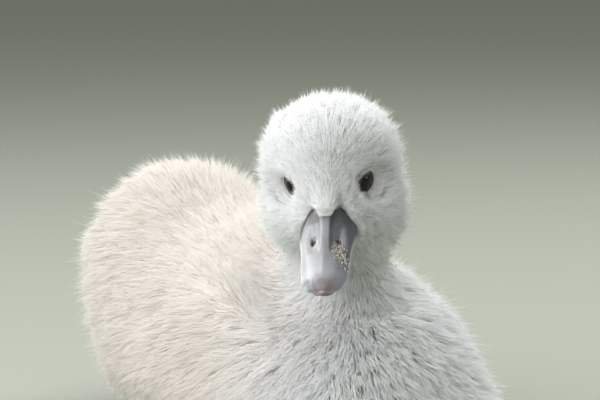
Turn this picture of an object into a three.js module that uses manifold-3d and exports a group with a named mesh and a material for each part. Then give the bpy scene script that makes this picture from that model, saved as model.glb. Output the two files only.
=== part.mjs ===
// A mute swan cygnet about ten days old, lying on its belly with its feet tucked beside it, its neck
// drawn back over the breast and its head turned to its right and bent down.
// Millimetres, +Z up. The bird faces -Y, so its left side is +X. The origin is on the floor, in the
// middle of the flat under the belly.
// The solids of flesh are as large as the bird with its down on, out to the tips of the down.
import * as THREE from "three";
import { mergeVertices } from "three/addons/utils/BufferGeometryUtils.js";
import Module from "manifold-3d";

const wasm = await Module();
wasm.setup();

// ---------- driving dimensions ----------
const GAP = 0.3; // between neighbours that touch in life
const SEAM = 0.36; // the same, measured at the corners of a faceted skin
const RUMP_HALF_WIDTH = 39;
const RUMP_HEIGHT = 91.5; // top of the back over the floor
const BREAST_HALF_WIDTH = 52;
const BREAST_HEIGHT = 68;
const SHOULDER_HEIGHT = 76;
const EYE_HEIGHT = 90; // the point between the eyes, over the floor
const EYE_SPREAD = 24.8; // from the middle of one eye's opening to the other's
const EYEBALL_RADIUS = 6;
const EYE_DEPTH = 4.9; // of the ball's middle behind the middle of its opening
const EYE_TURN = 50; // degrees that each eye looks out from straight ahead
const NECK_RADIUS = 15;

const HEAD_YAW = -46; // degrees, turned to the bird's right
const HEAD_PITCH = 33.5; // bill down
const HEAD_ROLL = -4.8; // crown leaning to the bird's right

const BILL_BASE = 7; // distances ahead of the point between the eyes
const BILL_TIP = 41.5;
const BILL_HALF_WIDTH = 9.7; // at the corners of the mouth
const NAIL_LENGTH = 8.2;
const NAIL_WIDTH = 9.6;

const HEEL = [31, 35, 4.4]; // of the left leg; the right one mirrors it
const TOE_ROOT = [35, -2, 3.2];
const SHANK_RADIUS = 3;
const HEEL_RADIUS = 4.1;
const WEB_THICKNESS = 1;
const CLAW_LENGTH = 4;

const BODY_CELL = 8.4; // grid steps that the skins are drawn on
const WING_CELL = 6.6;
const NECK_CELL = 8;
const HEAD_CELL = 4.8;

const rad = THREE.MathUtils.degToRad;
const lerp = THREE.MathUtils.lerp;
const vec = (x, y, z) => new THREE.Vector3(x, y, z);
const range = (count) => Array.from({ length: count }, (_, i) => i);
const SIDES = [
  ["left", 1],
  ["right", -1],
];
const bothSides = (make) => SIDES.map(([, side]) => make(side));

// ---------- the head's own frame: origin between the eyes, -Y to the bill, +Z to the crown ----------
const identity = new THREE.Matrix4();
const headFrame = new THREE.Matrix4()
  .makeRotationFromEuler(new THREE.Euler(rad(HEAD_PITCH), rad(HEAD_ROLL), rad(HEAD_YAW), "ZXY"))
  .setPosition(-23, -51, EYE_HEIGHT);

// ---------- solids: three.js geometry in, three.js geometry out ----------
function solidOf(geometry, frame = identity) {
  const flat = geometry.index ? geometry.toNonIndexed() : geometry;
  const bare = new THREE.BufferGeometry()
    .setAttribute("position", flat.getAttribute("position").clone())
    .applyMatrix4(frame);
  const merged = mergeVertices(bare, 1e-4);
  return new wasm.Manifold(
    new wasm.Mesh({
      numProp: 3,
      vertProperties: merged.attributes.position.array,
      triVerts: new Uint32Array(merged.index.array),
    }),
  );
}

function geometryOf(solid) {
  const mesh = solid.getMesh();
  return new THREE.BufferGeometry()
    .setAttribute("position", new THREE.BufferAttribute(new Float32Array(mesh.vertProperties), 3))
    .setIndex(new THREE.BufferAttribute(new Uint32Array(mesh.triVerts), 1));
}

const without = (solid, cutters) => cutters.reduce((left, cutter) => left.subtract(cutter), solid);

// ---------- the flesh as fields: below zero inside, about the distance in millimetres ----------
// A lobe is an egg with its middle and its half sizes (across, along, up, down) in its own frame. Its
// plan is an ellipse, and its upright outline is fuller than an ellipse where the fullness is over 2.
function lobe(middle, [across, along, up, down = up], options = {}) {
  const { frame = identity, turn = [0, 0, 0], fullness = 2 } = options;
  const back = new THREE.Matrix4()
    .makeRotationFromEuler(new THREE.Euler(...turn.map(rad)))
    .setPosition(...middle)
    .premultiply(frame)
    .invert();
  const point = vec();
  return (x, y, z) => {
    point.set(x, y, z).applyMatrix4(back);
    const height = point.z > 0 ? up : down;
    const power = point.z > 0 ? fullness : 2;
    const plan = Math.hypot(point.x / across, point.y / along) + 1e-6;
    const rise = Math.abs(point.z) / height + 1e-6;
    const share = (plan ** power + rise ** power) ** (1 / power);
    const planSlope = Math.hypot(point.x / across ** 2, point.y / along ** 2) / plan;
    const sideways = (plan / share) ** (power - 1) * planSlope;
    const upwards = (rise / share) ** (power - 1) / height;
    const leastSlope = 1 / Math.max(across, along, height);
    return (share - 1) / Math.max(Math.hypot(sideways, upwards), leastSlope);
  };
}

// A round stalk along a curve, its radius going from one value to another.
function stalk(points, radii, steps = 24) {
  const curve = new THREE.CatmullRomCurve3(points);
  const beads = range(steps + 1).map((i) => ({
    at: curve.getPoint(i / steps),
    radius: lerp(radii[0], radii[1], i / steps),
  }));
  return (x, y, z) =>
    Math.min(...beads.map(({ at, radius }) => Math.hypot(x - at.x, y - at.y, z - at.z) - radius));
}

// The lobes run into each other with a fillet of about this reach.
function blended(fields, reach) {
  return (x, y, z) => {
    let sum = Infinity;
    for (const field of fields) {
      const value = field(x, y, z);
      const share = Math.max(reach - Math.abs(sum - value), 0) / reach;
      sum = Number.isFinite(sum) ? Math.min(sum, value) - (share * share * reach) / 4 : value;
    }
    return sum;
  };
}

function outwards(field, point, step = 0.5) {
  const slope = [0, 1, 2].map((axis) => {
    const [ahead, behind] = [[...point], [...point]];
    ahead[axis] += step;
    behind[axis] -= step;
    return field(...ahead) - field(...behind);
  });
  const length = Math.hypot(...slope) || 1;
  return slope.map((v) => v / length);
}

// ---------- a closed skin where a field crosses zero, by the surface nets method ----------
// `box` holds two corners of a room that the shape fits in; `growth` moves the skin's corners out.
function skinOf(field, box, cell, growth = 0) {
  const low = box[0].map((v) => v - 2 * cell);
  const count = low.map((v, k) => Math.ceil((box[1][k] - v) / cell) + 3);
  const stride = [1, count[0], count[0] * count[1]];
  const at = (i, j, k) => i + j * stride[1] + k * stride[2];
  const values = new Float32Array(count[0] * count[1] * count[2]);
  for (let k = 0; k < count[2]; k++)
    for (let j = 0; j < count[1]; j++)
      for (let i = 0; i < count[0]; i++)
        values[at(i, j, k)] = field(low[0] + i * cell, low[1] + j * cell, low[2] + k * cell);

  const corners = range(8).map((c) => [c & 1, (c >> 1) & 1, (c >> 2) & 1]);
  const edges = corners.flatMap((a, m) =>
    corners.slice(m + 1).flatMap((b) => (a.filter((v, k) => v !== b[k]).length === 1 ? [[a, b]] : [])),
  );

  const positions = [];
  const vertexOf = new Map();
  for (let k = 0; k < count[2] - 1; k++)
    for (let j = 0; j < count[1] - 1; j++)
      for (let i = 0; i < count[0] - 1; i++) {
        const sum = [0, 0, 0];
        let crossings = 0;
        for (const [a, b] of edges) {
          const va = values[at(i + a[0], j + a[1], k + a[2])];
          const vb = values[at(i + b[0], j + b[1], k + b[2])];
          if (va < 0 === vb < 0) continue;
          const share = va / (va - vb);
          for (let axis = 0; axis < 3; axis++) sum[axis] += a[axis] + (b[axis] - a[axis]) * share;
          crossings++;
        }
        if (!crossings) continue;
        vertexOf.set(at(i, j, k), positions.length / 3);
        const corner = [i, j, k].map((v, axis) => low[axis] + (v + sum[axis] / crossings) * cell);
        const out = outwards(field, corner);
        positions.push(...corner.map((v, axis) => v + out[axis] * growth));
      }

  const triangles = [];
  for (let k = 1; k < count[2] - 1; k++)
    for (let j = 1; j < count[1] - 1; j++)
      for (let i = 1; i < count[0] - 1; i++)
        for (let axis = 0; axis < 3; axis++) {
          const here = at(i, j, k);
          const inside = values[here] < 0;
          if (inside === values[here + stride[axis]] < 0) continue;
          const u = stride[(axis + 1) % 3];
          const v = stride[(axis + 2) % 3];
          const ring = [here, here - u, here - u - v, here - v].map((cellAt) => vertexOf.get(cellAt));
          if (!inside) ring.reverse();
          triangles.push(ring[0], ring[1], ring[2], ring[0], ring[2], ring[3]);
        }
  const geometry = new THREE.BufferGeometry()
    .setAttribute("position", new THREE.BufferAttribute(new Float32Array(positions), 3))
    .setIndex(triangles);
  return solidOf(geometry);
}

// ---------- a closed solid through rings of points, its ends closed by fans ----------
function loft(rings) {
  const sides = rings[0].length;
  const middleOf = (ring) => ring.reduce((sum, p) => sum.add(p), vec()).divideScalar(sides);
  const points = [...rings.flat(), middleOf(rings[0]), middleOf(rings.at(-1))];
  const index = (ring, k) => ring * sides + (k % sides);
  const triangles = [];
  for (let ring = 0; ring < rings.length - 1; ring++)
    for (let k = 0; k < sides; k++) {
      const [a, b] = [index(ring, k), index(ring, k + 1)];
      const [c, d] = [index(ring + 1, k + 1), index(ring + 1, k)];
      triangles.push(a, b, c, a, c, d);
    }
  for (let k = 0; k < sides; k++) {
    triangles.push(points.length - 2, index(0, k + 1), index(0, k));
    triangles.push(points.length - 1, index(rings.length - 1, k), index(rings.length - 1, k + 1));
  }
  return new THREE.BufferGeometry().setFromPoints(points).setIndex(triangles);
}

// Rings of `sides` points round a curve, with a radius for each share of the way along.
function tube(curve, radiusAt, steps, sides) {
  const rings = range(steps + 1).map((i) => {
    const share = i / steps;
    const middle = curve.getPoint(share);
    const ahead = curve.getTangent(share);
    const across = vec(0, 0, 1).cross(ahead).normalize();
    const over = ahead.clone().cross(across);
    return range(sides).map((k) => {
      const angle = ((k + 0.5) / sides) * 2 * Math.PI;
      return middle
        .clone()
        .addScaledVector(across, Math.cos(angle) * radiusAt(share))
        .addScaledVector(over, Math.sin(angle) * radiusAt(share));
    });
  });
  return loft(rings);
}

// ---------- trunk, tail, wings, neck and head ----------
const trunkBox = [[-52, -88, -4], [52, 88, 94]];
const trunkField = blended(
  [
    lobe([0, 55, 48], [RUMP_HALF_WIDTH, 33, RUMP_HEIGHT - 48, 49], { fullness: 2.3, turn: [6, 0, 0] }),
    lobe([0, 79, 50], [22, 18, 18], { turn: [14, 0, 0] }), // root of the tail
    lobe([0, 9, SHOULDER_HEIGHT / 2], [44, 52, SHOULDER_HEIGHT / 2], { turn: [6, 0, 0] }),
    lobe([0, 6, 24], [46, 66, 26, 25]), // belly and flanks
    lobe([0, -36, 8], [BREAST_HALF_WIDTH, 50, BREAST_HEIGHT - 8, 9.5], { fullness: 1.6 }),
  ],
  14,
);

const tailBox = [[-16, 70, 40], [16, 109, 68]];
const tailField = lobe([0, 89, 53], [15, 19, 9.5], { turn: [14, 0, 0] });

const wingBox = (side) => [[side * 35 - 15, -42, 22], [side * 35 + 15, 22, 62]];
const wingField = (side) => lobe([side * 35, -10, 42], [12.5, 31, 17], { turn: [12, 0, side * 4] });

const neckBox = [[-30, -60, 25], [17, -22, 100]];
const neckCurve = [vec(-3, -41, 44), vec(-8, -43, 58), vec(-11, -43.5, 70), vec(-13.4, -43, 84)];
const neckField = stalk(neckCurve, [NECK_RADIUS + 2.5, NECK_RADIUS]);

const headBox = [[-50, -78, 60], [14, -14, 124]];
const inHead = { frame: headFrame };
const headField = blended(
  [
    lobe([0, 14, 3], [24.3, 21, 20], inHead), // crown
    ...bothSides((side) => lobe([side * 10, 6, -13.5], [15.8, 18.5, 19], inHead)), // cheeks
    lobe([0, 4, -18], [16, 16, 12], inHead), // throat
    lobe([0, -2, -4], [10.5, 13, 9], inHead), // face in front of the eyes
  ],
  6,
);

// ---------- bill: rings across it, from the face to the tip, in the head's frame ----------
// Each outline is a smooth curve through pairs of (distance ahead, value).
function outline(pairs) {
  const curve = new THREE.SplineCurve(pairs.map(([ahead, value]) => new THREE.Vector2(ahead, value)));
  const samples = curve.getPoints(60);
  return (ahead) => {
    const next = Math.max(samples.findIndex((p) => p.x >= ahead), 1);
    const [a, b] = [samples[next - 1], samples[next]];
    return lerp(a.y, b.y, THREE.MathUtils.clamp((ahead - a.x) / (b.x - a.x), 0, 1));
  };
}

const culmen = outline([
  [BILL_BASE, 0.5],
  [12, -1.2],
  [17, -3.6],
  [24, -6.4],
  [32, -8.6],
  [38, -9.8],
  [BILL_TIP, -12.4],
]);
const tomium = outline([
  [BILL_BASE, -10.6],
  [12.7, -10.7],
  [24, -10.8],
  [32, -12.4],
  [38, -13.2],
  [BILL_TIP, -13],
]);
const halfWidth = outline([
  [BILL_BASE, 9],
  [12.7, BILL_HALF_WIDTH],
  [24, 8.3],
  [32, 7.9],
  [37, 6.9],
  [40.4, 3.8],
  [BILL_TIP, 0.9],
]);

const BILL_STEPS = 10;

// The upper bill's ring is an arch from edge to edge with a flat underside, grown out by `growth`.
const ARCH_STEPS = 8;
const FLOOR_STEPS = 2;
function upperRing(ahead, growth) {
  const arch = range(ARCH_STEPS + 1).map((k) => {
    const across = Math.cos((k / ARCH_STEPS) * Math.PI);
    const rise = (1 - Math.abs(across) ** 1.8) ** 0.72;
    const [low, high] = [tomium(ahead) - growth, culmen(ahead) + growth];
    return vec(across * (halfWidth(ahead) + growth), -ahead, lerp(low, high, rise));
  });
  const floor = range(FLOOR_STEPS - 1).map((k) =>
    arch.at(-1).clone().lerp(arch[0], (k + 1) / FLOOR_STEPS),
  );
  return [...arch, ...floor];
}

// The lower bill is a shallow dish under the upper one, narrower by a lip all round.
const LIP = 1.3;
const LOWER_DEPTH = 3.2;
function lowerRing(ahead, growth) {
  const width = halfWidth(ahead + 2.4) - LIP + growth;
  const top = tomium(ahead) - GAP + growth;
  const keel = [-1, -0.75, -0.3, 0.3, 0.75, 1].map((across) => {
    const drop = (1 - across ** 4) * (LOWER_DEPTH - 0.6) + 0.6;
    return vec(across * width, -ahead, top - drop - 2 * growth);
  });
  return [vec(-width, -ahead, top), ...keel, vec(width, -ahead, top), vec(0, -ahead, top)];
}

function billSolid(ring, from, to, growth = 0) {
  const shareAt = (i) => Math.sin((i / BILL_STEPS) * (Math.PI / 2));
  const stations = range(BILL_STEPS + 1).map((i) => lerp(from, to, shareAt(i)));
  return solidOf(loft(stations.map((ahead) => ring(ahead, growth))), headFrame);
}

const nailAt = (growth) =>
  solidOf(
    new THREE.SphereGeometry(1, 12, 8)
      .scale(NAIL_WIDTH / 2 + growth, NAIL_LENGTH / 2 + 1 + growth, 4.6 + growth)
      .translate(0, -(BILL_TIP + 1 - NAIL_LENGTH / 2), -11.2),
    headFrame,
  );
const upperWhole = billSolid(upperRing, BILL_BASE, BILL_TIP);
const billUpper = upperWhole.subtract(nailAt(GAP));
const billNail = upperWhole.intersect(nailAt(0));
const billLower = billSolid(lowerRing, BILL_BASE + 1, BILL_TIP - 3.5);
const billSeats = [
  billSolid(upperRing, BILL_BASE - GAP, BILL_TIP, GAP),
  billSolid(lowerRing, BILL_BASE + 1 - GAP, BILL_TIP - 3.5, GAP),
];

// ---------- eyes: balls in sockets that open outwards ----------
function eyeParts(side) {
  const out = vec(side * Math.sin(rad(EYE_TURN)), -Math.cos(rad(EYE_TURN)), 0);
  const middle = vec((side * EYE_SPREAD) / 2, 0, 0).addScaledVector(out, -EYE_DEPTH);
  const aim = new THREE.Matrix4()
    .makeRotationFromQuaternion(new THREE.Quaternion().setFromUnitVectors(vec(0, 1, 0), out))
    .setPosition(middle)
    .premultiply(headFrame);
  const ball = new THREE.SphereGeometry(EYEBALL_RADIUS, 12, 8);
  const socket = new THREE.SphereGeometry(EYEBALL_RADIUS + GAP, 12, 8);
  const opening = new THREE.CylinderGeometry(8, 3.9, 9, 12).translate(0, 9, 0);
  return { ball: solidOf(ball, aim), socket: solidOf(socket, aim), opening: solidOf(opening, aim) };
}
const eyes = bothSides(eyeParts);

// ---------- legs: the shank along the floor, three webbed toes ahead and a short one behind ----------
const TOES = [
  { name: "inner", turn: -15, length: 31, radius: 2.1 }, // degrees out from straight ahead
  { name: "middle", turn: 7, length: 38, radius: 2.3 },
  { name: "outer", turn: 27, length: 35, radius: 2.1 },
];
const HIND_TOE = { name: "hind", turn: 205, length: 8, radius: 1.4 };
const KNUCKLES = 3;

// The drumstick's end comes down out of the flank to the heel, and the shank lies ahead of it.
function legSolid(side, growth = 0) {
  const heel = vec(side * HEEL[0], HEEL[1], HEEL[2]);
  const toeRoot = vec(side * TOE_ROOT[0], TOE_ROOT[1] + 4, TOE_ROOT[2]);
  const drumstick = vec(side * (HEEL[0] - 3), HEEL[1] - 12, HEEL[2] + 13);
  const shankRadius = (share) => SHANK_RADIUS * lerp(1.08, 0.96, share) + growth;
  const drumstickRadius = (share) => SHANK_RADIUS * lerp(1.1, 1.5, share) + growth;
  const joint = new THREE.SphereGeometry(HEEL_RADIUS + growth, 9, 6).translate(...heel);
  return solidOf(joint)
    .add(solidOf(tube(new THREE.LineCurve3(heel, toeRoot), shankRadius, 2, 8)))
    .add(solidOf(tube(new THREE.LineCurve3(heel, drumstick), drumstickRadius, 2, 8)));
}

function toeSolid(side, { turn, length, radius }) {
  const ahead = vec(side * Math.sin(rad(turn)), -Math.cos(rad(turn)), 0);
  const start = vec(side * TOE_ROOT[0], TOE_ROOT[1], radius);
  const end = start.clone().addScaledVector(ahead, length).setZ(1.1);
  const radiusAt = (share) =>
    radius * lerp(1, 0.52, share) * (1 + 0.09 * Math.cos(share * KNUCKLES * 2 * Math.PI));
  return solidOf(tube(new THREE.LineCurve3(start, end), radiusAt, 6, 6));
}

function clawSolid(side, { turn, length, radius }) {
  const ahead = vec(side * Math.sin(rad(turn)), -Math.cos(rad(turn)), 0);
  const start = vec(side * TOE_ROOT[0], TOE_ROOT[1], 1.25).addScaledVector(ahead, length + GAP);
  const middle = start.clone().addScaledVector(ahead, CLAW_LENGTH * 0.55).setZ(1.35);
  const end = start.clone().addScaledVector(ahead, CLAW_LENGTH).setZ(0.45);
  const radiusAt = (share) => radius * lerp(0.42, 0.1, share);
  return solidOf(tube(new THREE.QuadraticBezierCurve3(start, middle, end), radiusAt, 3, 5));
}

// The web spans the three front toes, its edge drawn in between their tips.
function footSolid(side) {
  const tipOf = ({ turn, length }) =>
    new THREE.Vector2(Math.sin(rad(turn)), -Math.cos(rad(turn))).multiplyScalar(length * 0.96);
  const tips = TOES.map(tipOf);
  const web = new THREE.Shape().moveTo(0, 3).lineTo(tips[0].x, tips[0].y);
  for (const [a, b] of [[tips[0], tips[1]], [tips[1], tips[2]]]) {
    const bay = a.clone().add(b).multiplyScalar(0.5 * 0.86);
    web.quadraticCurveTo(bay.x, bay.y, b.x, b.y);
  }
  const options = { depth: WEB_THICKNESS, bevelEnabled: false, curveSegments: 3 };
  const sheet = new THREE.ExtrudeGeometry(web, options).translate(TOE_ROOT[0], TOE_ROOT[1], 0);
  const sheetSolid = side > 0 ? solidOf(sheet) : solidOf(sheet).mirror([1, 0, 0]);
  const toes = [...TOES, HIND_TOE].map((toe) => toeSolid(side, toe));
  return toes.reduce((sum, toe) => sum.add(toe), sheetSolid);
}

// A hollow under the flank leaves room for the foot and for the down that hangs over it.
const footHollow = (side) =>
  solidOf(
    new THREE.SphereGeometry(1, 14, 8)
      .scale(25, 32, 6.4)
      .translate(side * (TOE_ROOT[0] + 5), TOE_ROOT[1] - 18, 0),
  );

// ---------- everything above the floor, each piece cut clear of those before it ----------
const overFloor = (solid, height = 0) =>
  solid.subtract(solidOf(new THREE.BoxGeometry(400, 400, 100).translate(0, 0, height - 50)));

const legs = bothSides((side) => overFloor(legSolid(side), GAP / 2));
const legSeats = bothSides((side) => legSolid(side, GAP));
const feet = bothSides(footSolid).map((foot, i) => overFloor(foot.subtract(legSeats[i])));
const headWhole = skinOf(headField, headBox, HEAD_CELL);
const headSeat = skinOf(headField, headBox, HEAD_CELL, SEAM);
const trunkWhole = skinOf(trunkField, trunkBox, BODY_CELL);
const trunkSeat = skinOf(trunkField, trunkBox, BODY_CELL, SEAM);
const neckSeat = skinOf(neckField, neckBox, NECK_CELL, SEAM);
const wings = bothSides((side) => skinOf(wingField(side), wingBox(side), WING_CELL));
const wingSeats = bothSides((side) => skinOf(wingField(side), wingBox(side), WING_CELL, SEAM));
const neck = skinOf(neckField, neckBox, NECK_CELL).subtract(headSeat);
const tail = skinOf(tailField, tailBox, WING_CELL).subtract(trunkSeat);
const sockets = eyes.flatMap(({ socket, opening }) => [socket, opening]);
const head = without(headWhole, [...billSeats, ...sockets]);
const hollows = bothSides(footHollow);
const trunk = overFloor(
  without(trunkWhole, [headSeat, neckSeat, ...wingSeats, ...legSeats, ...hollows]),
);

// ---------- the parts, by name ----------
const finish = (color, roughness) =>
  new THREE.MeshStandardMaterial({ color, roughness, metalness: 0 });
const bodyDown = finish(0xeee3da, 0.95);
const headDown = finish(0xf0f2f0, 0.95);
const horn = finish(0x8d8e98, 0.42);
const nailHorn = finish(0xa09a9c, 0.4);
const eyeGloss = finish(0x17130f, 0.06);
const legSkin = finish(0x5c5e63, 0.55);
const clawHorn = finish(0x2e2b2b, 0.4);

const parts = [
  ["trunk", trunk, bodyDown],
  ["tail", tail, bodyDown],
  ["neck", neck, headDown],
  ["head", head, headDown],
  ["bill_upper", billUpper, horn],
  ["bill_nail", billNail, nailHorn],
  ["bill_lower", billLower, horn],
  ...SIDES.flatMap(([sideName, side], i) => [
    [`wing_${sideName}`, wings[i], bodyDown],
    [`eye_${sideName}`, eyes[i].ball, eyeGloss],
    [`leg_${sideName}`, legs[i], legSkin],
    [`foot_${sideName}`, feet[i], legSkin],
    ...[...TOES, HIND_TOE].map((toe) => [`claw_${sideName}_${toe.name}`, clawSolid(side, toe), clawHorn]),
  ]),
];

const root = new THREE.Group();
for (const [name, solid, material] of parts) {
  const mesh = new THREE.Mesh(geometryOf(solid), material);
  mesh.name = name;
  root.add(mesh);
}

export default root;
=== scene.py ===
import math

import bmesh
import bpy
import numpy as np
from mathutils import Matrix, Vector
from mathutils.bvhtree import BVHTree
from mathutils.kdtree import KDTree


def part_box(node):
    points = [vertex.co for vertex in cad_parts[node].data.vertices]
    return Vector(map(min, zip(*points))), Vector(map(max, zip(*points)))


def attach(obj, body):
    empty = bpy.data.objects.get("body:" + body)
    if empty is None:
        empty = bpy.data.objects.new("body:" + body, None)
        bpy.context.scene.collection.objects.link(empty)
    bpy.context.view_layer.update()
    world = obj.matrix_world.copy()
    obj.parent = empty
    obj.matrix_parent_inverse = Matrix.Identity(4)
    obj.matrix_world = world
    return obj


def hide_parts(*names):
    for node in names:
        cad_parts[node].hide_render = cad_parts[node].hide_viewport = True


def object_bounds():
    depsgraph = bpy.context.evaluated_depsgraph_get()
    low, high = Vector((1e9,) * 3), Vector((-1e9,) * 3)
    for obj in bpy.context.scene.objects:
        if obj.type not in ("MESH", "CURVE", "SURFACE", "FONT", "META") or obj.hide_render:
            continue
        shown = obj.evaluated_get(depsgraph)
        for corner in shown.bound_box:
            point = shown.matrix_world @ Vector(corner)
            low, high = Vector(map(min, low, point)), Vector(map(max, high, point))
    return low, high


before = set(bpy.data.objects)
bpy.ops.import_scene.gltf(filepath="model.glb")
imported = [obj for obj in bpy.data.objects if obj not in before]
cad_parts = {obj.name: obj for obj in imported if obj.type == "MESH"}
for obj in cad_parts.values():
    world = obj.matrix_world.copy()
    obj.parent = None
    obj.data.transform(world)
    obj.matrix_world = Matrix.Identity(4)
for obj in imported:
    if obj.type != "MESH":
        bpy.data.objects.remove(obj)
solids_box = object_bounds()
MM = 0.001

# ---------- The head's own frame ----------
# The origin lies between the openings of the eyes; -Y points along the bill, +X to the bird's left and
# +Z to the crown. Distances in it are in millimetres.
HEAD_YAW = -46  # degrees, to the bird's right
HEAD_PITCH = 33.5  # bill down
HEAD_ROLL = -4.8
EYE_SPREAD = 24.8  # from opening to opening
EYEBALL_RADIUS = 6
EYE_DEPTH = 4.9  # of the ball's middle behind the middle of its opening
EYE_TURN = math.radians(50)  # how far each eye looks out from straight ahead
SIDES = (("left", 1), ("right", -1))


def middle_of(node):
    low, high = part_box(node)
    return (low + high) / 2


head_turn = (
    Matrix.Rotation(math.radians(HEAD_YAW), 3, "Z")
    @ Matrix.Rotation(math.radians(HEAD_PITCH), 3, "X")
    @ Matrix.Rotation(math.radians(HEAD_ROLL), 3, "Y")
)
between_balls = (middle_of("eye_left") + middle_of("eye_right")) / 2
between_eyes = between_balls - head_turn @ Vector((0, EYE_DEPTH * math.cos(EYE_TURN) * MM, 0))
head_frame = Matrix.Translation(between_eyes) @ head_turn.to_4x4() @ Matrix.Scale(MM, 4)
TURN = np.array(head_turn)
ORIGIN = np.array(between_eyes)


def from_head(points):
    """Points in the head's frame, in millimetres, to places in the scene."""
    return np.asarray(points, float) @ TURN.T * MM + ORIGIN


def to_head(points):
    return (points - ORIGIN) @ TURN / MM


# ---------- Camera, floor and light ----------
# A long lens at the bird's own height, a plain pale floor that runs to the horizon, and soft light from
# large panels: overhead, behind the bird, beside it and in front.
CAMERA_AZIMUTH = math.radians(-40)
CAMERA_HEIGHT = math.radians(5.5)
CAMERA_DISTANCE = 1.4
LENS = 252  # millimetres, on a sensor 36 mm wide
IMAGE_WIDTH, IMAGE_HEIGHT = 600, 400
EYES_AT = (327.9, 184.4)  # where the point between the eyes falls in the image
pixel = CAMERA_DISTANCE * 36 / LENS / IMAGE_WIDTH


def way_to(azimuth, height):
    """The way to something at an azimuth and a height, in radians; azimuth 0 lies along -Y."""
    return Vector(
        (math.sin(azimuth) * math.cos(height), -math.cos(azimuth) * math.cos(height), math.sin(height))
    )


back = way_to(CAMERA_AZIMUTH, CAMERA_HEIGHT)
right = Vector((math.cos(CAMERA_AZIMUTH), math.sin(CAMERA_AZIMUTH), 0))
up = back.cross(right)
camera = bpy.data.objects.new("camera", bpy.data.cameras.new("camera"))
camera.data.lens = LENS
camera.data.sensor_width = 36
camera.data.clip_end = 50
camera.location = (
    between_eyes
    - right * (EYES_AT[0] - IMAGE_WIDTH / 2) * pixel
    + up * (EYES_AT[1] - IMAGE_HEIGHT / 2) * pixel
    + back * CAMERA_DISTANCE
)
camera.rotation_euler = Matrix((right, up, back)).transposed().to_euler()
bpy.context.collection.objects.link(camera)
bpy.context.scene.camera = camera


def linear(hexadecimal):
    """A colour written as sRGB hex, as the linear values that the shaders take."""
    shares = [int(hexadecimal[i : i + 2], 16) / 255 for i in (1, 3, 5)]
    return [s / 12.92 if s <= 0.04045 else ((s + 0.055) / 1.055) ** 2.4 for s in shares] + [1]


def node(tree, kind, settings=(), **links):
    """One node with its settings; each link names an input and gives a value or another node's output."""
    new = tree.nodes.new(kind)
    for name, value in dict(settings).items():
        setattr(new, name, value)
    for name, value in links.items():
        socket = new.inputs[int(name[1:]) if name[0] == "_" else name.replace("_", " ")]
        if isinstance(value, bpy.types.NodeSocket):
            tree.links.new(value, socket)
        else:
            socket.default_value = value
    return new


def new_material(name):
    material = bpy.data.materials.new(name)
    material.use_nodes = True
    material.node_tree.nodes.clear()
    return material, material.node_tree


def principled(tree, **links):
    """The material's one shader, joined to its output."""
    shader = node(tree, "ShaderNodeBsdfPrincipled", **links)
    node(tree, "ShaderNodeOutputMaterial", Surface=shader.outputs[0])


def noise(tree, scale, detail):
    """Noise in the object's own metres."""
    place = node(tree, "ShaderNodeTexCoord").outputs["Object"]
    return node(tree, "ShaderNodeTexNoise", Vector=place, Scale=scale, Detail=detail).outputs[0]


def bump(tree, height, strength, distance):
    return node(tree, "ShaderNodeBump", Strength=strength, Distance=distance, Height=height).outputs[0]


def new_object(name, mesh, *materials):
    made = bpy.data.objects.new(name, mesh)
    bpy.context.collection.objects.link(made)
    for material in materials:
        mesh.materials.append(material)
    return made


FLOOR_PAPER = "#a3a59b"
floor_material, tree = new_material("matt paper")
grain = node(tree, "ShaderNodeTexNoise", Scale=900.0).outputs[0]
paper = bump(tree, grain, 0.05, 0.0002)
principled(tree, Base_Color=linear(FLOOR_PAPER), Roughness=0.9, Normal=paper)
floor_mesh = bpy.data.meshes.new("floor")
FLOOR_HALF = 12
corners = [(-1, -1), (1, -1), (1, 1), (-1, 1)]
floor_mesh.from_pydata([(x * FLOOR_HALF, y * FLOOR_HALF, 0) for x, y in corners], [], [(0, 1, 2, 3)])
new_object("floor", floor_mesh, floor_material)


def panel(name, azimuth, height, distance, size, power, colour):
    """A square soft light that faces the bird."""
    light = bpy.data.lights.new(name, "AREA")
    light.size = size
    light.energy = power
    light.color = linear(colour)[:3]
    away = way_to(math.radians(azimuth), math.radians(height))
    lamp = bpy.data.objects.new(name, light)
    lamp.location = between_eyes + away * distance
    lamp.rotation_euler = away.to_track_quat("Z", "Y").to_euler()
    bpy.context.collection.objects.link(lamp)


panel("sky panel", -60, 78, 1.3, 1.2, 9.5, "#fefefc")
panel("back panel", 88, 46, 1.5, 0.9, 15, "#fbfdff")
bpy.data.objects["back panel"].visible_glossy = False  # it lights the down and leaves the bill dark there
panel("left panel", -114, 28, 1.4, 1.1, 9, "#fdfdff")
panel("front panel", -74, 16, 1.4, 1.0, 10, "#fdfdff")
# Lamps that only polished things mirror: two points of light in the eyes, and a broad shine on the bill.
for name, azimuth, height, size, power in (
    ("left catchlight", -135, 4, 0.12, 2),
    ("right catchlight", 40, 8, 0.11, 1.6),
    ("bill shine", -168, 20, 1.0, 12),
    ("bill sheen", -138, 50, 1.0, 15),
):
    panel(name, azimuth, height, 1.3, size, power, "#ffffff")
    bpy.data.objects[name].visible_diffuse = False
    bpy.data.objects[name].visible_camera = False
world = bpy.data.worlds.new("studio")
world.use_nodes = True
world.node_tree.nodes["Background"].inputs["Color"].default_value = linear("#c0c7bb")
world.node_tree.nodes["Background"].inputs["Strength"].default_value = 0.6
bpy.context.scene.view_settings.view_transform = "Standard"
bpy.context.scene.world = world

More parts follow.
